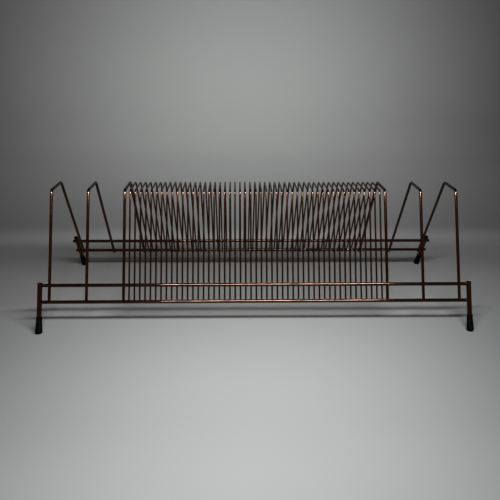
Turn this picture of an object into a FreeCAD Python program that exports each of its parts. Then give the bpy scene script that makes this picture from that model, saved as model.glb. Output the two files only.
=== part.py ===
import FreeCAD, Part
import math
import os

from FreeCAD import Vector

# A record rack made of welded wire, with rubber tips on its legs.
#
# Bent wire dividers stand in a row like the hoops of a tunnel: each climbs a sloping front side, crosses a
# short flat top and comes down a sloping rear side. Two straight rails run along each sloping side, welded
# to the outside of the dividers, and a short stout leg is welded to the outside of the rails at each corner.
# Thin dividers part the narrow slots in the middle, and heavy ones part the wide slots at both ends.
#
# X runs along the rack, Y from the front (-) to the rear (+), and Z up from the floor. The origin is on the
# floor, under the middle of the rack. Lengths are in millimetres and angles in radians.

# Layout along the rack
THIN_DIVIDERS = 49
NARROW_PITCH = 6.35
FIRST_PITCH = 6.7  # from the outermost thin divider to the heavy one beside it
WIDE_SLOTS_PER_END = 2
WIDE_PITCH = 44.0
LEG_OVERHANG = 8.4  # from the outermost divider to the axis of the leg
RAIL_STUB = 0.8  # length of rail beyond the leg

# Wire sizes
THIN_DIAMETER = 2.03
HEAVY_DIAMETER = 3.43
RAIL_DIAMETER = 4.11
LEG_DIAMETER = 5.5
WELD_SINK = 0.3  # how far two welded wires sink into each other
ROD_CHAMFER = 0.35  # on the cut ends of rails and legs

# End profile, along the centre line of a heavy divider
SIDE_ANGLE = math.radians(26.2)  # between a sloping side and the vertical
TOP_HALF_DEPTH = 18.9  # where the centre lines of the top and the side would meet
TOP_HEIGHT = 150.8
BEND_RADIUS = 5.5
DIVIDER_END_HEIGHT = 29.5

# Heights of the centre lines on the sloping sides
LOWER_RAIL_HEIGHT = 31.3
UPPER_RAIL_HEIGHT = 49.0
LEG_TOP_HEIGHT = 54.1
LEG_END_HEIGHT = 4.6

# Rubber tips, which are solid below the end of the leg
TIP_TOP_HEIGHT = 18.0
TIP_TOP_RADIUS = 3.35
TIP_LIP_ROUNDING = 0.35
TIP_BASE_RADIUS = 4.15
TIP_BASE_ROUNDING = 1.6
TIP_WORN_DEPTH = 0.25  # height worn off the tip where it stands on the floor

# The thin dividers are too many for a file each, so neighbours share one as separate solids.
DIVIDERS_PER_FILE = 2

SIDES = {"front": -1, "rear": 1}
ENDS = {"left": -1, "right": 1}
RAIL_HEIGHTS = {"lower": LOWER_RAIL_HEIGHT, "upper": UPPER_RAIL_HEIGHT}

OUTER_THIN_X = (THIN_DIVIDERS - 1) * NARROW_PITCH / 2
INNER_HEAVY_X = OUTER_THIN_X + FIRST_PITCH
OUTER_HEAVY_X = INNER_HEAVY_X + WIDE_SLOTS_PER_END * WIDE_PITCH
LEG_X = OUTER_HEAVY_X + LEG_OVERHANG
RAIL_HALF_LENGTH = LEG_X + LEG_DIAMETER / 2 + RAIL_STUB

# Distances of the rails and legs from the centre line of a heavy divider, square to the sloping side
RAIL_OUTWARD = (HEAVY_DIAMETER + RAIL_DIAMETER) / 2 - WELD_SINK
LEG_OUTWARD = RAIL_OUTWARD + (RAIL_DIAMETER + LEG_DIAMETER) / 2 - WELD_SINK


def half_depth(height, outward=0.0):
    """Y at a height on a line that runs beside the sloping side, outward from the heavy dividers."""
    on_side = TOP_HALF_DEPTH + (TOP_HEIGHT - height) * math.tan(SIDE_ANGLE)
    return on_side + outward / math.cos(SIDE_ANGLE)


def rounded_path(corners, radius):
    """A wire through the corners, with each inner corner replaced by a tangent arc."""
    edges = []
    start = corners[0]
    for before, corner, after in zip(corners, corners[1:], corners[2:]):
        back = (before - corner).normalize()
        onward = (after - corner).normalize()
        half_turn = back.getAngle(onward) / 2
        reach = radius / math.tan(half_turn)
        inward = (back + onward).normalize()
        crown = corner + inward * (radius / math.sin(half_turn) - radius)
        arc_start = corner + back * reach
        arc_end = corner + onward * reach
        edges.append(Part.LineSegment(start, arc_start).toShape())
        edges.append(Part.Arc(arc_start, crown, arc_end).toShape())
        start = arc_end
    edges.append(Part.LineSegment(start, corners[-1]).toShape())
    return Part.Wire(edges)


def make_divider(x, diameter):
    """One bent wire. Thin or heavy, its outer side lies against the rails."""
    outward = (HEAVY_DIAMETER - diameter) / 2
    foot = half_depth(DIVIDER_END_HEIGHT, outward)
    shoulder = half_depth(TOP_HEIGHT, outward)
    corners = [
        Vector(x, -foot, DIVIDER_END_HEIGHT),
        Vector(x, -shoulder, TOP_HEIGHT),
        Vector(x, shoulder, TOP_HEIGHT),
        Vector(x, foot, DIVIDER_END_HEIGHT),
    ]
    section = Part.makeCircle(diameter / 2, corners[0], corners[1] - corners[0])
    return rounded_path(corners, BEND_RADIUS).makePipe(Part.Face(Part.Wire([section])))


def make_rod(start, end, diameter):
    """A straight piece of wire with a small chamfer round both cut ends."""
    along = end - start
    rod = Part.makeCylinder(diameter / 2, along.Length, start, along)
    end_rims = [edge for edge in rod.Edges if edge.Closed and isinstance(edge.Curve, Part.Circle)]
    return rod.makeChamfer(ROD_CHAMFER, end_rims)


def make_rail(side, height):
    y = side * half_depth(height, RAIL_OUTWARD)
    return make_rod(Vector(-RAIL_HALF_LENGTH, y, height), Vector(RAIL_HALF_LENGTH, y, height), RAIL_DIAMETER)


def leg_point(end, side, height):
    """A point on the axis of one leg."""
    return Vector(end * LEG_X, side * half_depth(height, LEG_OUTWARD), height)


def make_leg(end, side):
    return make_rod(leg_point(end, side, LEG_TOP_HEIGHT), leg_point(end, side, LEG_END_HEIGHT), LEG_DIAMETER)


def tip_outline(length, socket_floor):
    """Half of a section through a rubber tip, as a face in the XZ plane with the tip's axis along Z."""
    base_edge = TIP_BASE_RADIUS - TIP_BASE_ROUNDING
    round_part = TIP_BASE_ROUNDING * math.sqrt(0.5)
    lip_part = TIP_LIP_ROUNDING * math.sqrt(0.5)
    socket_radius = LEG_DIAMETER / 2
    lip_centre = Vector(TIP_TOP_RADIUS - TIP_LIP_ROUNDING, 0, length - TIP_LIP_ROUNDING)
    points = [
        Vector(0, 0, 0),
        Vector(base_edge, 0, 0),
        Vector(TIP_BASE_RADIUS, 0, TIP_BASE_ROUNDING),
        lip_centre + Vector(TIP_LIP_ROUNDING, 0, 0),
        lip_centre + Vector(0, 0, TIP_LIP_ROUNDING),
        Vector(socket_radius, 0, length),
        Vector(socket_radius, 0, socket_floor),
        Vector(0, 0, socket_floor),
    ]
    base_round = Part.Arc(
        points[1],
        Vector(base_edge + round_part, 0, TIP_BASE_ROUNDING - round_part),
        points[2],
    )
    lip_round = Part.Arc(points[3], lip_centre + Vector(lip_part, 0, lip_part), points[4])
    edges = [
        Part.LineSegment(points[0], points[1]),
        base_round,
        Part.LineSegment(points[2], points[3]),
        lip_round,
        Part.LineSegment(points[4], points[5]),
        Part.LineSegment(points[5], points[6]),
        Part.LineSegment(points[6], points[7]),
        Part.LineSegment(points[7], points[0]),
    ]
    return Part.Face(Part.Wire([edge.toShape() for edge in edges]))


def make_tip(end, side):
    """A push-on tip in line with its leg. The inner edge of its base, worn flat, stands on the floor."""
    lowest_below_base = (
        (TIP_BASE_RADIUS - TIP_BASE_ROUNDING) * math.sin(SIDE_ANGLE)
        + TIP_BASE_ROUNDING * (1 - math.cos(SIDE_ANGLE))
    )
    base_height = lowest_below_base - TIP_WORN_DEPTH
    base = leg_point(end, side, base_height)
    length = (leg_point(end, side, TIP_TOP_HEIGHT) - base).Length
    socket_floor = (leg_point(end, side, LEG_END_HEIGHT) - base).Length
    tip = tip_outline(length, socket_floor).revolve(Vector(0, 0, 0), Vector(0, 0, 1), 360)
    tip.rotate(Vector(0, 0, 0), Vector(1, 0, 0), math.degrees(side * SIDE_ANGLE))
    tip.translate(base)
    below_floor = Part.makeBox(
        4 * TIP_BASE_RADIUS,
        4 * TIP_BASE_RADIUS,
        TIP_BASE_RADIUS,
        Vector(base.x - 2 * TIP_BASE_RADIUS, base.y - 2 * TIP_BASE_RADIUS, -TIP_BASE_RADIUS),
    )
    return tip.cut(below_floor).Solids[0]


def heavy_divider_places():
    """X of each heavy divider, from left to right."""
    right = [INNER_HEAVY_X + n * WIDE_PITCH for n in range(WIDE_SLOTS_PER_END + 1)]
    return [-x for x in reversed(right)] + right


def thin_divider_places():
    """X of each thin divider, from left to right."""
    return [n * NARROW_PITCH - OUTER_THIN_X for n in range(THIN_DIVIDERS)]


def make_rack():
    """Every piece of the rack, as a dictionary from its node's name to its shape."""
    nodes = {}
    for side_name, side in SIDES.items():
        for level, height in RAIL_HEIGHTS.items():
            nodes[f"rail_{side_name}_{level}"] = make_rail(side, height)
        for end_name, end in ENDS.items():
            nodes[f"leg_{side_name}_{end_name}"] = make_leg(end, side)
            nodes[f"rubber_tip_{side_name}_{end_name}"] = make_tip(end, side)
    for number, x in enumerate(heavy_divider_places(), start=1):
        nodes[f"heavy_divider_{number}"] = make_divider(x, HEAVY_DIAMETER)
    places = thin_divider_places()
    for first in range(0, len(places), DIVIDERS_PER_FILE):
        group = places[first:first + DIVIDERS_PER_FILE]
        numbers = "_".join(f"{first + n + 1:02d}" for n in range(len(group)))
        nodes[f"thin_divider_{numbers}"] = Part.makeCompound([make_divider(x, THIN_DIAMETER) for x in group])
    return nodes


os.makedirs("parts", exist_ok=True)
for name, shape in make_rack().items():
    shape.exportStep(f"parts/{name}.step")
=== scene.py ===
import bpy
import bmesh
import math
import random

from mathutils import Matrix, Vector, noise


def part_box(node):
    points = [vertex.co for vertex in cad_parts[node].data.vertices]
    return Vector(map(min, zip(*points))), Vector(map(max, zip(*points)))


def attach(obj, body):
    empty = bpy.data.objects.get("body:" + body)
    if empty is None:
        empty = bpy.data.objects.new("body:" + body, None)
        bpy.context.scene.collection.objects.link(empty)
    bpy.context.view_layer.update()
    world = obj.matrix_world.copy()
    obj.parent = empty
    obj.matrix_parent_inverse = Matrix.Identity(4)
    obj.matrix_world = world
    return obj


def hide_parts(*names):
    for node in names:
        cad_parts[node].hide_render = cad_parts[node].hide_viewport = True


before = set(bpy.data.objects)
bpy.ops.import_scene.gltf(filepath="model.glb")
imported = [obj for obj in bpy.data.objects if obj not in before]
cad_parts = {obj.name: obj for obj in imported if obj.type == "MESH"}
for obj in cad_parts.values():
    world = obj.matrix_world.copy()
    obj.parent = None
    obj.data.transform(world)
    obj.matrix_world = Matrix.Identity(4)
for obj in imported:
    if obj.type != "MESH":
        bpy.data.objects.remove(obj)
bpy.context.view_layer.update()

# A record rack of copper-plated welded wire, darkened with age, on four black rubber tips. Every wire is a
# piece of its own. The row of bent dividers stands on two straight rails along each sloping side, and a
# short leg is welded to the outside of the rails at each corner.
#
# Places come from the boxes of the CAD nodes. Lengths are in metres and angles in radians.

# Shape of the wires
SIDE_ANGLE = math.radians(26.2)  # between a sloping side and the vertical
BEND_RADIUS = 0.0055
ROD_CHAMFER = 0.00035  # of the rails and legs in their nodes, which their boxes depend on
DIVIDER_SHEAR = 0.00018  # rounding of the cut ends of the dividers
CUP_DEPTH = 0.00008  # hollow that the shears leave in the middle of a cut end
CUP_WIDTH = 0.35  # of the wire's radius
CUT_RIM = 1.6  # width of the rounded rim round a cut end, of the rounding
DIVIDER_BOW = 0.00018  # how far a divider may lean to one side at the top

# Mesh density
WIRE_SIDES = 20
ROD_SIDES = 28
FINE_STEP = 0.0012  # between rings near the welds
COARSE_STEP = 0.009
BEND_STEPS = 12
END_ROUNDING_STEPS = 3

# Welds
HEAT_REACH = 0.0014  # how far along a wire the heat of a weld has stained it
BEAD_HEAT = 0.8
BEAD_ROUGHNESS = 0.16  # of the bead's radius
BEAD_DETAIL = 1.7  # lumps in half a bead
BEAD_SINK = 0.0001  # how far the middle of a bead lies inside its rail
LEG_BEAD_WIDTH = 0.98  # of the leg's width
LEG_BEAD_HALF_HEIGHT = 0.0019
LEG_BEAD_HALF_THICKNESS = 0.0008

# Rubber tips
TIP_TOP_RADIUS = 0.00335
TIP_LIP_ROUNDING = 0.00035
TIP_BASE_RADIUS = 0.00415
TIP_BASE_ROUNDING = 0.0016
TIP_WORN_DEPTH = 0.00025
TIP_SOCKET_RADIUS = 0.00275
TIP_SIDES = 64
TIP_BASE_STEPS = 9
TIP_WALL_STEPS = 16
TIP_LIP_STEPS = 5
TIP_FLAT_RING = 0.45  # of the base's radius, for a ring that keeps the faces of the flat base even
MOULD_LINE_HEIGHT = 0.00007
MOULD_LINE_WIDTH = 0.07  # of the tip's radius
LIP_BEAD_HEIGHT = 0.00012
LIP_BEAD_DEPTH = 1.2  # steps of the wall, below the lip's rounding
JOIN_DISTANCE = 1e-6  # within which the vertices of a ring of no radius join into one

# Camera
CAMERA_PLACE = Vector((-0.0243, -0.6415, 0.3252))
CAMERA_PITCH = 0.3863  # downwards
CAMERA_YAW = -0.0286
CAMERA_ROLL = 0.0082
CAMERA_LENS = 37.88  # mm, on a sensor of 36 mm

# Lights and surroundings
TUBE_PLACE = Vector((0.050, -0.318, 0.4452))
TUBE_LENGTH = 0.42
TUBE_SKEW = 0.034  # how far its left end stands forward, and its right end back
TUBE_RADIUS = 0.025
TUBE_LAMPS = 10
TUBE_POWER = 25.6
LAMP_COLOUR = (0.82, 0.94, 1.0)
TUBE_TARGET = Vector((-0.01, 0.0, 0.09))
VIEW_GAMMA = 0.83

# Floor and backdrop
STAGE_GREY = (0.300, 0.269, 0.250)
STAGE_PAINTED_POOL_X = -0.05  # X where the pool of light painted on them is brightest
STAGE_PAINTED_LIGHT_LEAST = 0.3  # share of the painted light kept far to the sides, where painted shade darkens them
# overall strength of the light painted into the floor and backdrop
STAGE_PAINTED_LIGHT = 0.94
STAGE_PAINTED_LIGHT_CHANGES = (  # axis, start and end along it, and what is added to the painted light before and after
    ("Y", -0.40, -0.24, 0.21, 0.0),
    ("Y", 0.03, 0.12, 0.0, -0.10),
    ("Y", 0.12, 0.19, 0.0, 0.19),
    ("Y", 0.20, 0.235, 0.0, -0.33),
    ("Z", 0.0, 0.16, 0.0, 0.51),
    ("Z", 0.22, 0.42, 0.0, -0.21),
)
SWEEP_START = 0.17  # Y where the backdrop leaves the floor
SWEEP_RADIUS = 0.12
SWEEP_STEPS = 24
STAGE_HALF_WIDTH = 3.0
WALL_HEIGHT = 3.0
PALE_SURROUNDINGS = (0.44, 0.45, 0.445, 1.0)  # a painted pale glow that the floor and backdrop fade to, away from the rack; only the camera sees it and it lights nothing
FADE_LENGTH = 0.26
FADE_BESIDE = 0.40  # distance to the side where the fade starts, at the middle of the rack
FADE_SPREAD = 0.44  # how much further out it starts, for each metre to the rear
FADE_BEFORE = -0.38  # Y where it starts in front of the rack
FADE_ABOVE = 0.42  # Z where it starts on the backdrop

random.seed(7)


# ---------------------------------------------------------------- node helpers


def add_node(tree, kind, inputs=None, **settings):
    """A shader node with its settings, and with its inputs linked or set."""
    made = tree.nodes.new(kind)
    for key, value in settings.items():
        setattr(made, key, value)
    for key, value in (inputs or {}).items():
        if isinstance(value, bpy.types.NodeSocket):
            tree.links.new(value, made.inputs[key])
        else:
            made.inputs[key].default_value = value
    return made


def new_material(name):
    material = bpy.data.materials.new(name)
    material.use_nodes = True
    material.node_tree.nodes.clear()
    return material, material.node_tree


def noise_value(tree, coordinates, scale, detail=3.0, roughness=0.55, distortion=0.0):
    inputs = {
        "Vector": coordinates,
        "Scale": scale,
        "Detail": detail,
        "Roughness": roughness,
        "Distortion": distortion,
    }
    return add_node(tree, "ShaderNodeTexNoise", inputs).outputs["Fac"]


def remap(tree, value, low, high, to_low=0.0, to_high=1.0):
    """The value taken from one range to another, smoothly and without going past either end."""
    inputs = {
        "Value": value,
        "From Min": low,
        "From Max": high,
        "To Min": to_low,
        "To Max": to_high,
    }
    return add_node(tree, "ShaderNodeMapRange", inputs, interpolation_type="SMOOTHSTEP").outputs["Result"]


def mix_colours(tree, factor, first, second):
    mixer = add_node(tree, "ShaderNodeMix", data_type="RGBA")
    for socket, value in ((mixer.inputs[0], factor), (mixer.inputs[6], first), (mixer.inputs[7], second)):
        if isinstance(value, bpy.types.NodeSocket):
            tree.links.new(value, socket)
        else:
            socket.default_value = value
    return mixer.outputs[2]


def calculate(tree, operation, first, second=0.0):
    return add_node(tree, "ShaderNodeMath", {0: first, 1: second}, operation=operation).outputs[0]


def finish_material(tree, shader):
    add_node(tree, "ShaderNodeOutputMaterial", {"Surface": shader.outputs[0]})


# ---------------------------------------------------------------- materials


def make_copper():
    """Copper plate under old lacquer: brown with age, darker in blotches and where the welds heated it."""
    material, tree = new_material("aged_copper_plate")
    place = add_node(tree, "ShaderNodeTexCoord").outputs["Object"]
    along = add_node(tree, "ShaderNodeUVMap", uv_map="wire").outputs["UV"]
    drawn = add_node(tree, "ShaderNodeMapping", {"Vector": along, "Scale": (90.0, 5200.0, 1.0)}).outputs[0]
    heat = add_node(tree, "ShaderNodeAttribute", attribute_name="heat").outputs["Fac"]

    blotches = noise_value(tree, place, 55.0, detail=5.0, roughness=0.6, distortion=0.6)
    freckles = noise_value(tree, place, 620.0, detail=3.0)
    streaks = noise_value(tree, drawn, 1.0, detail=2.0)
    grain = noise_value(tree, place, 2600.0, detail=2.0)

    brown = (0.071, 0.0265, 0.012, 1.0)
    ruddy = (0.122, 0.045, 0.0195, 1.0)
    tarnish = (0.025, 0.010, 0.006, 1.0)
    scorch = (0.020, 0.009, 0.007, 1.0)
    colour = mix_colours(tree, remap(tree, streaks, 0.35, 0.7), brown, ruddy)
    colour = mix_colours(tree, remap(tree, blotches, 0.50, 0.66, 0.0, 0.8), colour, tarnish)
    colour = mix_colours(tree, remap(tree, freckles, 0.60, 0.70, 0.0, 0.7), colour, tarnish)
    colour = mix_colours(tree, calculate(tree, "MULTIPLY", heat, 0.5), colour, scorch)

    roughness = remap(tree, blotches, 0.35, 0.70, 0.09, 0.17)
    roughness = calculate(tree, "ADD", roughness, remap(tree, freckles, 0.45, 0.72, 0.0, 0.07))
    roughness = calculate(tree, "ADD", roughness, calculate(tree, "MULTIPLY", heat, 0.12))

    drawn_relief = calculate(tree, "MULTIPLY", streaks, 0.5)
    relief = calculate(tree, "ADD", drawn_relief, calculate(tree, "MULTIPLY", grain, 0.35))
    relief = calculate(tree, "SUBTRACT", relief, remap(tree, freckles, 0.62, 0.72, 0.0, 0.6))
    bump = add_node(tree, "ShaderNodeBump", {"Height": relief, "Strength": 0.35, "Distance": 0.00002})

    shader = add_node(tree, "ShaderNodeBsdfPrincipled", {
        "Base Color": colour,
        "Metallic": 1.0,
        "Roughness": roughness,
        "Specular Tint": (0.30, 0.17, 0.10, 1.0),
        "Normal": bump.outputs[0],
        "Coat Weight": 0.65,
        "Coat Roughness": 0.05,
        "Coat IOR": 1.5,
        "Coat Normal": bump.outputs[0],
    })
    finish_material(tree, shader)
    return material


def make_rubber():
    """Matt black rubber with a fine grain, a little grey dust and scuffs."""
    material, tree = new_material("black_rubber")
    place = add_node(tree, "ShaderNodeTexCoord").outputs["Object"]
    dust = noise_value(tree, place, 260.0, detail=5.0, roughness=0.65)
    grain = noise_value(tree, place, 2400.0, detail=3.0)
    scuffs = noise_value(tree, place, 900.0, detail=2.0, distortion=1.2)
    black = (0.0010, 0.0009, 0.0008, 1.0)
    dusty = (0.007, 0.0062, 0.0055, 1.0)
    colour = mix_colours(tree, remap(tree, dust, 0.52, 0.78, 0.0, 0.35), black, dusty)
    roughness = remap(tree, scuffs, 0.35, 0.70, 0.50, 0.78)
    relief = calculate(tree, "ADD", grain, calculate(tree, "MULTIPLY", scuffs, 0.5))
    bump = add_node(tree, "ShaderNodeBump", {"Height": relief, "Strength": 0.4, "Distance": 0.00006})
    shader = add_node(tree, "ShaderNodeBsdfPrincipled", {
        "Base Color": colour,
        "Roughness": roughness,
        "Normal": bump.outputs[0],
        "Specular IOR Level": 0.06,
    })
    finish_material(tree, shader)
    return material


def make_stage_grey_with_painted_light(name, hidden_from, one_sided):
    """Matt grey with a trace of unevenness and with light painted into its colour: a pool of painted light
    near the rack, painted shade to the sides, and painted bands of light and shade from front to back and up
    the backdrop. Away from the rack, and beyond the depth where it is hidden from the front, it turns into a
    pale painted glow that only the camera sees. One-sided, it can't be seen from behind."""
    material, tree = new_material(name)
    place = add_node(tree, "ShaderNodeTexCoord").outputs["Object"]
    clouds = noise_value(tree, place, 9.0, detail=4.0)
    darker = tuple(0.97 * part for part in STAGE_GREY)
    uneven_grey_and_painted_light = mix_colours(tree, clouds, (*darker, 1.0), (*STAGE_GREY, 1.0))
    axes = add_node(tree, "ShaderNodeSeparateXYZ", {"Vector": place}).outputs
    # Painted light: a pool of light painted into the grey, brightest a little left of the middle and falling
    # off to the sides as painted shade, more steeply near the front and high up, then brightened or darkened
    # in painted bands from front to back and up the backdrop.
    sideways = calculate(tree, "SUBTRACT", axes["X"], STAGE_PAINTED_POOL_X)
    near_painted_falloff = remap(tree, axes["Y"], -0.25, 0.15, -4.7, -1.4)
    high_painted_falloff = remap(tree, axes["Z"], 0.0, 0.20, 0.0, -2.1)
    painted_falloff_rate = calculate(tree, "ADD", near_painted_falloff, high_painted_falloff)
    painted_falloff = calculate(tree, "MULTIPLY", calculate(tree, "POWER", sideways, 2.0), painted_falloff_rate)
    painted_light_share = calculate(tree, "MAXIMUM", calculate(tree, "EXPONENT", painted_falloff), STAGE_PAINTED_LIGHT_LEAST)
    painted_light_strength = STAGE_PAINTED_LIGHT
    for axis, start, end, before, after in STAGE_PAINTED_LIGHT_CHANGES:
        painted_light_strength = calculate(tree, "ADD", painted_light_strength, remap(tree, axes[axis], start, end, before, after))
    painted_light_share = calculate(tree, "MULTIPLY", painted_light_share, painted_light_strength)
    uneven_grey_and_painted_light = add_node(tree, "ShaderNodeVectorMath", {0: uneven_grey_and_painted_light, "Scale": painted_light_share}, operation="SCALE").outputs[0]
    shader = add_node(tree, "ShaderNodeBsdfDiffuse", {"Color": uneven_grey_and_painted_light, "Roughness": 0.0})
    spread = calculate(tree, "MULTIPLY", axes["Y"], FADE_SPREAD)
    beside = calculate(tree, "SUBTRACT", calculate(tree, "ABSOLUTE", axes["X"]), spread)
    away = remap(tree, beside, FADE_BESIDE, FADE_BESIDE + FADE_LENGTH)
    for place_along, start, end in (
        (axes["Y"], FADE_BEFORE, FADE_BEFORE - FADE_LENGTH),
        (axes["Y"], hidden_from, hidden_from + FADE_LENGTH / 2),
        (axes["Z"], FADE_ABOVE, FADE_ABOVE + FADE_LENGTH),
    ):
        away = calculate(tree, "MAXIMUM", away, remap(tree, place_along, start, end))
    # The pale they fade to is a painted glow: an emission that only the camera sees and that lights nothing.
    seen = add_node(tree, "ShaderNodeLightPath").outputs["Is Camera Ray"]
    faded = calculate(tree, "MULTIPLY", away, seen)
    pale = add_node(tree, "ShaderNodeEmission", {"Color": PALE_SURROUNDINGS})
    shader = add_node(tree, "ShaderNodeMixShader", {0: faded, 1: shader.outputs[0], 2: pale.outputs[0]})
    if one_sided:
        clear = add_node(tree, "ShaderNodeBsdfTransparent")
        back = add_node(tree, "ShaderNodeNewGeometry").outputs["Backfacing"]
        shader = add_node(tree, "ShaderNodeMixShader", {0: back, 1: shader.outputs[0], 2: clear.outputs[0]})
    finish_material(tree, shader)
    return material


# ---------------------------------------------------------------- pieces


def make_piece(name, bm, material):
    """An object from a bmesh, which is used up."""
    bmesh.ops.recalc_face_normals(bm, faces=bm.faces)
    mesh = bpy.data.meshes.new(name)
    bm.to_mesh(mesh)
    bm.free()
    mesh.materials.append(material)
    piece = bpy.data.objects.new(name, mesh)
    bpy.context.scene.collection.objects.link(piece)
    return piece


def add_rings(bm, stations, across, sides):
    """Faces through a ring of vertices at each station, with both ends closed. A station is a centre, a
    direction, a radius and the heat of the welds there."""
    wire_map = bm.loops.layers.uv.new("wire")
    heat_layer = bm.verts.layers.float.new("heat")
    rings = []
    travelled = [0.0]
    for before, after in zip(stations, stations[1:]):
        travelled.append(travelled[-1] + (after[0] - before[0]).length)
    for centre, direction, radius, heat in stations:
        up = across.cross(direction).normalized()
        ring = []
        for side in range(sides):
            angle = math.tau * side / sides
            vertex = bm.verts.new(centre + radius * (math.cos(angle) * across + math.sin(angle) * up))
            vertex[heat_layer] = heat
            ring.append(vertex)
        rings.append(ring)
    girth = math.tau * max(station[2] for station in stations)
    for number, (ring, following) in enumerate(zip(rings, rings[1:])):
        for side in range(sides):
            onward = (side + 1) % sides
            face = bm.faces.new((ring[side], ring[onward], following[onward], following[side]))
            face.smooth = True
            turns = (side / sides, (side + 1) / sides, (side + 1) / sides, side / sides)
            lengths = (travelled[number],) * 2 + (travelled[number + 1],) * 2
            for loop, length, turn in zip(face.loops, lengths, turns):
                loop[wire_map].uv = (length, turn * girth)
    for ring in (rings[0], rings[-1]):
        cap = bm.faces.new(ring)
        cap.smooth = True


def with_cut_ends(stations, radius, shear):
    """The stations of a rod with both ends rounded by the shears and slightly hollow in the middle."""
    def end_stations(centre, direction, heat):
        rounded = []
        for step in range(END_ROUNDING_STEPS):
            angle = math.pi / 2 * step / END_ROUNDING_STEPS
            inset = shear * (1 - math.sin(angle))
            rounded.append((centre + direction * inset, radius - shear * (1 - math.cos(angle)), heat))
        cup = (centre + direction * CUP_DEPTH, CUP_WIDTH * radius, heat)
        face = [cup, (centre, radius - CUT_RIM * shear, heat)]
        return face + rounded[::-1]

    first, last = stations[0], stations[-1]
    start = [(c, first[1], r, h) for c, r, h in end_stations(first[0], first[1], first[2])]
    finish = [(c, last[1], r, h) for c, r, h in end_stations(last[0], -last[1], last[2])]
    middle = []
    for centre, direction, heat in stations:
        if min((centre - first[0]).length, (centre - last[0]).length) > shear:
            middle.append((centre, direction, radius, heat))
    return start + middle + finish[::-1]


def heat_at(distances):
    """Heat stain from the welds at these distances, from 0 to 1."""
    return max((math.exp(-((distance / HEAT_REACH) ** 2)) for distance in distances), default=0.0)


def run_lengths(length, fine_length):
    """Distances along a straight run whose first stretch has its rings close together."""
    fine_steps = math.ceil(fine_length / FINE_STEP)
    rest_steps = math.ceil((length - fine_length) / COARSE_STEP)
    fine = [fine_length * step / fine_steps for step in range(fine_steps)]
    return fine + [fine_length + (length - fine_length) * step / rest_steps for step in range(rest_steps + 1)]


def divider_profile(foot, top_height, weld_heights):
    """The front half of a divider's centre line, from its foot to halfway along the flat top's front half, as
    depth, height, angle from the vertical, and heat."""
    rise = top_height - foot[1]
    side_length = rise / math.cos(SIDE_ANGLE)
    half_turn = (math.pi / 2 - SIDE_ANGLE) / 2
    straight = side_length - BEND_RADIUS * math.tan(half_turn)
    sine, cosine = math.sin(SIDE_ANGLE), math.cos(SIDE_ANGLE)
    welded = (max(weld_heights) - foot[1]) / cosine + 3 * HEAT_REACH
    profile = []
    for length in run_lengths(straight, welded):
        height = foot[1] + length * cosine
        heat = heat_at([(height - weld) / cosine for weld in weld_heights])
        profile.append((foot[0] + length * sine, height, SIDE_ANGLE, heat))
    centre = (profile[-1][0] + BEND_RADIUS * cosine, profile[-1][1] - BEND_RADIUS * sine)
    for step in range(1, BEND_STEPS + 1):
        angle = SIDE_ANGLE + 2 * half_turn * step / BEND_STEPS
        depth = centre[0] - BEND_RADIUS * math.cos(angle)
        profile.append((depth, centre[1] + BEND_RADIUS * math.sin(angle), angle, 0.0))
    bend_end = profile[-1][0]
    profile.append((bend_end / 2, top_height, math.pi / 2, 0.0))
    return profile


def make_divider(name, node, x, radius, weld_heights, copper):
    """One bent wire, welded to the rails near both ends and very slightly bowed above them."""
    lo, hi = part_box(node)
    foot = (lo.y + radius * math.cos(SIDE_ANGLE), lo.z + radius * math.sin(SIDE_ANGLE))
    top_height = hi.z - radius
    profile = divider_profile(foot, top_height, weld_heights)
    bow = random.uniform(-DIVIDER_BOW, DIVIDER_BOW)
    skew = random.uniform(-DIVIDER_BOW, DIVIDER_BOW)
    free_height = top_height - max(weld_heights)

    def place(depth, height):
        climbed = max(0.0, height - max(weld_heights)) / free_height
        sideways = (bow + skew * depth / abs(foot[0])) * climbed ** 2
        return Vector((x + sideways, depth, height))

    stations = []
    for depth, height, angle, heat in profile:
        stations.append((place(depth, height), Vector((0, math.sin(angle), math.cos(angle))), heat))
    stations.append((place(0.0, top_height), Vector((0, 1, 0)), 0.0))
    for depth, height, angle, heat in reversed(profile):
        stations.append((place(-depth, height), Vector((0, math.sin(angle), -math.cos(angle))), heat))
    bm = bmesh.new()
    add_rings(bm, with_cut_ends(stations, radius, DIVIDER_SHEAR), Vector((1, 0, 0)), WIRE_SIDES)
    piece = make_piece(name, bm, copper)
    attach(piece, "root")
    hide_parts(node)


def make_rod(name, node, start, end, radius, across, weld_distances, copper):
    """A straight rod with its rings close together all along, since it is welded all along."""
    along = (end - start).normalized()
    length = (end - start).length
    steps = math.ceil(length / FINE_STEP)
    stations = []
    for step in range(steps + 1):
        distance = length * step / steps
        heat = heat_at([distance - weld for weld in weld_distances])
        stations.append((start + along * distance, along, heat))
    bm = bmesh.new()
    add_rings(bm, with_cut_ends(stations, radius, ROD_CHAMFER), across, ROD_SIDES)
    piece = make_piece(name, bm, copper)
    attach(piece, "root")
    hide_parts(node)


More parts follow.
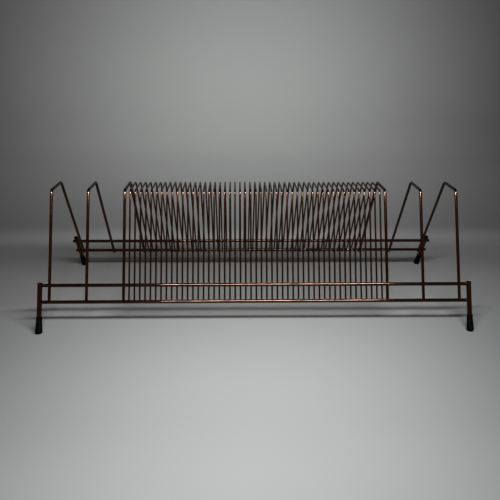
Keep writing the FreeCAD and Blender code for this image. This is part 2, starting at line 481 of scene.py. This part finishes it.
def add_bead(bm, centre, sizes, slope):
    """A lump of squeezed-out metal at a weld. Its half sizes are along X, up the side, and square to it."""
    heat_layer = bm.verts.layers.float.get("heat") or bm.verts.layers.float.new("heat")
    up_slope = Vector((0, math.sin(slope), math.cos(slope)))
    square = Vector((0, -math.cos(slope), math.sin(slope)))
    tilt = Matrix((Vector((1, 0, 0)), up_slope, square)).transposed().to_4x4()
    matrix = Matrix.Translation(centre) @ tilt @ Matrix.Diagonal((*sizes, 1.0))
    made = bmesh.ops.create_icosphere(bm, subdivisions=3, radius=1.0)
    shift = Vector((random.uniform(0, 50), random.uniform(0, 50), random.uniform(0, 50)))
    for vertex in made["verts"]:
        swell = 1 + BEAD_ROUGHNESS * noise.noise(vertex.co * BEAD_DETAIL + shift)
        vertex.co = matrix @ (vertex.co * swell)
        vertex[heat_layer] = BEAD_HEAT
    for face in {face for vertex in made["verts"] for face in vertex.link_faces}:
        face.smooth = True


def divider_bead_sizes(radius):
    """Half the width, height and thickness of the bead between a rail and a divider of this radius."""
    return 1.22 * radius, 0.9 * radius + 0.0005, 0.00045 + 0.12 * radius


def rail_facts(side, level):
    """Both ends, the radius and the height of one rail, from its box."""
    lo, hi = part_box(f"rail_{side}_{level}")
    centre = (lo + hi) / 2
    start = Vector((lo.x, centre.y, centre.z))
    end = Vector((hi.x, centre.y, centre.z))
    return start, end, (hi.z - lo.z) / 2


def divider_facts():
    """The name, node, place along X and radius of every divider."""
    lo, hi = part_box("thin_divider_49")
    thin_radius = (hi.x - lo.x) / 2
    facts = []
    for node in sorted(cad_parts):
        lo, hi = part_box(node)
        if node.startswith("heavy_divider_"):
            number = node.removeprefix("heavy_divider_")
            middle = (lo.x + hi.x) / 2
            facts.append((f"heavy_divider_wire_{number}", node, middle, (hi.x - lo.x) / 2))
        elif node.startswith("thin_divider_"):
            numbers = node.removeprefix("thin_divider_").split("_")
            places = (lo.x + thin_radius, hi.x - thin_radius)
            for number, x in zip(numbers, places):
                facts.append((f"thin_divider_wire_{number}", node, x, thin_radius))
    return facts


def leg_facts(side, end):
    """Both ends of a leg's axis, lower end first, and its radius, from its box."""
    lo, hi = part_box(f"leg_{side}_{end}")
    centre = (lo + hi) / 2
    radius = (hi.x - lo.x) / 2
    over_ends = 2 * (radius - ROD_CHAMFER) * math.sin(SIDE_ANGLE)
    length = (hi.z - lo.z - over_ends) / math.cos(SIDE_ANGLE)
    slope = -SIDE_ANGLE if centre.y > 0 else SIDE_ANGLE
    upward = Vector((0, math.sin(slope), math.cos(slope)))
    return centre - upward * length / 2, centre + upward * length / 2, radius


def tip_outline(length, socket_floor):
    """Radii and heights round a rubber tip, from the middle of its base to the bottom of its socket."""
    outline = [(0.0, 0.0), (TIP_FLAT_RING * TIP_BASE_RADIUS, 0.0)]
    base_edge = TIP_BASE_RADIUS - TIP_BASE_ROUNDING
    for step in range(TIP_BASE_STEPS + 1):
        angle = math.pi / 2 * step / TIP_BASE_STEPS
        radius = base_edge + TIP_BASE_ROUNDING * math.sin(angle)
        outline.append((radius, TIP_BASE_ROUNDING * (1 - math.cos(angle))))
    wall_top = length - TIP_LIP_ROUNDING
    for step in range(1, TIP_WALL_STEPS):
        share = step / TIP_WALL_STEPS
        radius = TIP_BASE_RADIUS + (TIP_TOP_RADIUS - TIP_BASE_RADIUS) * share
        lip = LIP_BEAD_HEIGHT * math.exp(-(((1 - share) * TIP_WALL_STEPS - LIP_BEAD_DEPTH) ** 2))
        height = TIP_BASE_ROUNDING + (wall_top - TIP_BASE_ROUNDING) * share
        outline.append((radius - LIP_BEAD_HEIGHT + lip, height))
    for step in range(TIP_LIP_STEPS + 1):
        angle = math.pi / 2 * step / TIP_LIP_STEPS
        outline.append((
            TIP_TOP_RADIUS - TIP_LIP_ROUNDING * (1 - math.cos(angle)),
            wall_top + TIP_LIP_ROUNDING * math.sin(angle),
        ))
    outline += [(TIP_SOCKET_RADIUS, length), (TIP_SOCKET_RADIUS, socket_floor), (0.0, socket_floor)]
    return outline


def make_tip(side, end, rubber):
    """A push-on tip with a lip and a mould line, worn flat where it stands on the floor."""
    node = f"rubber_tip_{side}_{end}"
    lo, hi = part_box(node)
    foot, head, _ = leg_facts(side, end)
    upward = (head - foot).normalized()
    slope = math.atan2(upward.y, upward.z)
    lowest_below_base = (
        (TIP_BASE_RADIUS - TIP_BASE_ROUNDING) * math.sin(SIDE_ANGLE)
        + TIP_BASE_ROUNDING * (1 - math.cos(SIDE_ANGLE))
    )
    lip_rise = (TIP_TOP_RADIUS - TIP_LIP_ROUNDING) * math.sin(SIDE_ANGLE)
    lip_rise += TIP_LIP_ROUNDING * (1 - math.cos(SIDE_ANGLE))
    base_height = lowest_below_base - TIP_WORN_DEPTH
    base = foot + upward * (base_height - foot.z) / upward.z
    length = (hi.z - lip_rise - base_height) / upward.z
    bm = bmesh.new()
    rings = []
    for radius, height in tip_outline(length, (foot - base).length):
        ring = []
        for number in range(TIP_SIDES):
            angle = math.tau * number / TIP_SIDES
            outer = radius > TIP_SOCKET_RADIUS and height < length
            near_seam = math.exp(-((math.cos(angle) / MOULD_LINE_WIDTH) ** 2)) if outer else 0.0
            out = radius + MOULD_LINE_HEIGHT * near_seam
            ring.append(bm.verts.new((out * math.cos(angle), out * math.sin(angle), height)))
        rings.append(ring)
    for ring, following in zip(rings, rings[1:]):
        for number in range(TIP_SIDES):
            onward = (number + 1) % TIP_SIDES
            face = bm.faces.new((ring[number], ring[onward], following[onward], following[number]))
            face.smooth = True
    bmesh.ops.remove_doubles(bm, verts=bm.verts, dist=JOIN_DISTANCE)
    matrix = Matrix.Translation(base) @ Matrix.Rotation(-slope, 4, "X")
    for vertex in bm.verts:
        vertex.co = matrix @ vertex.co
        vertex.co.z = max(vertex.co.z, 0.0)
    piece = make_piece(f"{side}_{end}_tip", bm, rubber)
    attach(piece, "root")
    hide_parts(node)


def make_welds(side, dividers, copper):
    """The beads of the dividers and legs along both rails of one side, as one piece for each rail."""
    slope = SIDE_ANGLE if side == "front" else -SIDE_ANGLE
    facing = -1 if side == "front" else 1
    square = Vector((0, facing * math.cos(SIDE_ANGLE), math.sin(SIDE_ANGLE)))
    for level in ("lower", "upper"):
        start, _, rail_radius = rail_facts(side, level)
        bm = bmesh.new()
        for _, _, x, radius in dividers:
            centre = Vector((x, start.y, start.z)) - square * (rail_radius - BEAD_SINK)
            add_bead(bm, centre, divider_bead_sizes(radius), slope)
        for end in ("left", "right"):
            foot, _, leg_radius = leg_facts(side, end)
            centre = Vector((foot.x, start.y, start.z)) + square * (rail_radius - BEAD_SINK)
            sizes = (LEG_BEAD_WIDTH * leg_radius, LEG_BEAD_HALF_HEIGHT, LEG_BEAD_HALF_THICKNESS)
            add_bead(bm, centre, sizes, slope)
        piece = make_piece(f"{side}_{level}_rail_welds", bm, copper)
        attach(piece, "root")


def make_rack(copper, rubber):
    dividers = divider_facts()
    rail_heights = {level: rail_facts("front", level)[0].z for level in ("lower", "upper")}
    for name, node, x, radius in dividers:
        make_divider(name, node, x, radius, list(rail_heights.values()), copper)
    for side in ("front", "rear"):
        legs = {end: leg_facts(side, end) for end in ("left", "right")}
        for level in rail_heights:
            start, end, radius = rail_facts(side, level)
            places = [x for _, _, x, _ in dividers] + [foot.x for foot, _, _ in legs.values()]
            welds = [x - start.x for x in places]
            name = f"{side}_{level}_rail_wire"
            make_rod(name, f"rail_{side}_{level}", start, end, radius, Vector((0, 1, 0)), welds, copper)
        for end, (foot, head, radius) in legs.items():
            welds = [(height - foot.z) / math.cos(SIDE_ANGLE) for height in rail_heights.values()]
            name = f"{side}_{end}_leg_rod"
            make_rod(name, f"leg_{side}_{end}", foot, head, radius, Vector((1, 0, 0)), welds, copper)
            make_tip(side, end, rubber)
        make_welds(side, dividers, copper)


# ---------------------------------------------------------------- stage, lights and camera


def make_stage():
    """A floor, and a backdrop that curves up out of it behind the rack."""
    bm = bmesh.new()
    w = STAGE_HALF_WIDTH
    bm.faces.new([bm.verts.new((x, y, 0.0)) for x, y in ((-w, -w), (w, -w), (w, w), (-w, w))])
    floor = make_piece("floor", bm, make_stage_grey_with_painted_light("floor_grey_painted_light", SWEEP_START, one_sided=False))
    bm = bmesh.new()
    profile = []
    for step in range(SWEEP_STEPS + 1):
        angle = math.pi / 2 * step / SWEEP_STEPS
        profile.append((SWEEP_START + SWEEP_RADIUS * math.sin(angle), SWEEP_RADIUS * (1 - math.cos(angle))))
    profile.append((SWEEP_START + SWEEP_RADIUS, WALL_HEIGHT))
    rows = [[bm.verts.new((x, y, z)) for x in (-w, w)] for y, z in profile]
    for row, following in zip(rows, rows[1:]):
        face = bm.faces.new((row[0], row[1], following[1], following[0]))
        face.smooth = True
    grey = make_stage_grey_with_painted_light("backdrop_grey_painted_light", SWEEP_START + SWEEP_RADIUS, one_sided=True)
    backdrop = make_piece("backdrop", bm, grey)
    for face in backdrop.data.polygons:
        if face.normal.y > 0:
            face.flip()


def make_lights():
    """A soft tube of light in front of the rack and above it, in a dim room."""
    facing = (TUBE_TARGET - TUBE_PLACE).to_track_quat("-Z", "Y").to_euler()
    for number in range(TUBE_LAMPS):
        share = number / (TUBE_LAMPS - 1) - 0.5
        data = bpy.data.lights.new(f"tube_lamp_{number}", "SPOT")
        data.shadow_soft_size = TUBE_RADIUS
        data.spot_size = math.pi
        data.spot_blend = 1.0
        data.energy = TUBE_POWER / TUBE_LAMPS
        data.color = LAMP_COLOUR
        lamp = bpy.data.objects.new(data.name, data)
        lamp.location = TUBE_PLACE + share * Vector((TUBE_LENGTH, 2 * TUBE_SKEW, 0))
        lamp.rotation_euler = facing
        bpy.context.scene.collection.objects.link(lamp)
    world = bpy.data.worlds.new("studio")
    world.use_nodes = True
    tree = world.node_tree
    tree.nodes.clear()
    rays = add_node(tree, "ShaderNodeLightPath").outputs
    dim = add_node(tree, "ShaderNodeBackground", {"Color": (0.9, 0.95, 1.0, 1.0), "Strength": 0.012})
    room = add_node(tree, "ShaderNodeBackground", {"Color": (1.0, 0.62, 0.38, 1.0), "Strength": 0.21})
    pale = add_node(tree, "ShaderNodeBackground", {"Color": PALE_SURROUNDINGS})
    unseen = {0: rays["Is Glossy Ray"], 1: dim.outputs[0], 2: room.outputs[0]}
    unseen = add_node(tree, "ShaderNodeMixShader", unseen)
    mixed = {0: rays["Is Camera Ray"], 1: unseen.outputs[0], 2: pale.outputs[0]}
    mixed = add_node(tree, "ShaderNodeMixShader", mixed)
    add_node(tree, "ShaderNodeOutputWorld", {"Surface": mixed.outputs[0]})
    bpy.context.scene.world = world


def make_camera():
    data = bpy.data.cameras.new("camera")
    data.lens = CAMERA_LENS
    data.clip_start = 0.01
    camera = bpy.data.objects.new("camera", data)
    camera.location = CAMERA_PLACE
    turned = Matrix.Rotation(CAMERA_YAW, 3, "Z")
    pitched = Matrix.Rotation(math.pi / 2 - CAMERA_PITCH, 3, "X")
    rolled = Matrix.Rotation(CAMERA_ROLL, 3, "Z")
    camera.rotation_euler = (turned @ pitched @ rolled).to_euler()
    bpy.context.scene.collection.objects.link(camera)
    bpy.context.scene.camera = camera


make_camera()
make_lights()
make_stage()
make_rack(make_copper(), make_rubber())
bpy.context.scene.view_settings.view_transform = "Standard"
bpy.context.scene.view_settings.gamma = VIEW_GAMMA
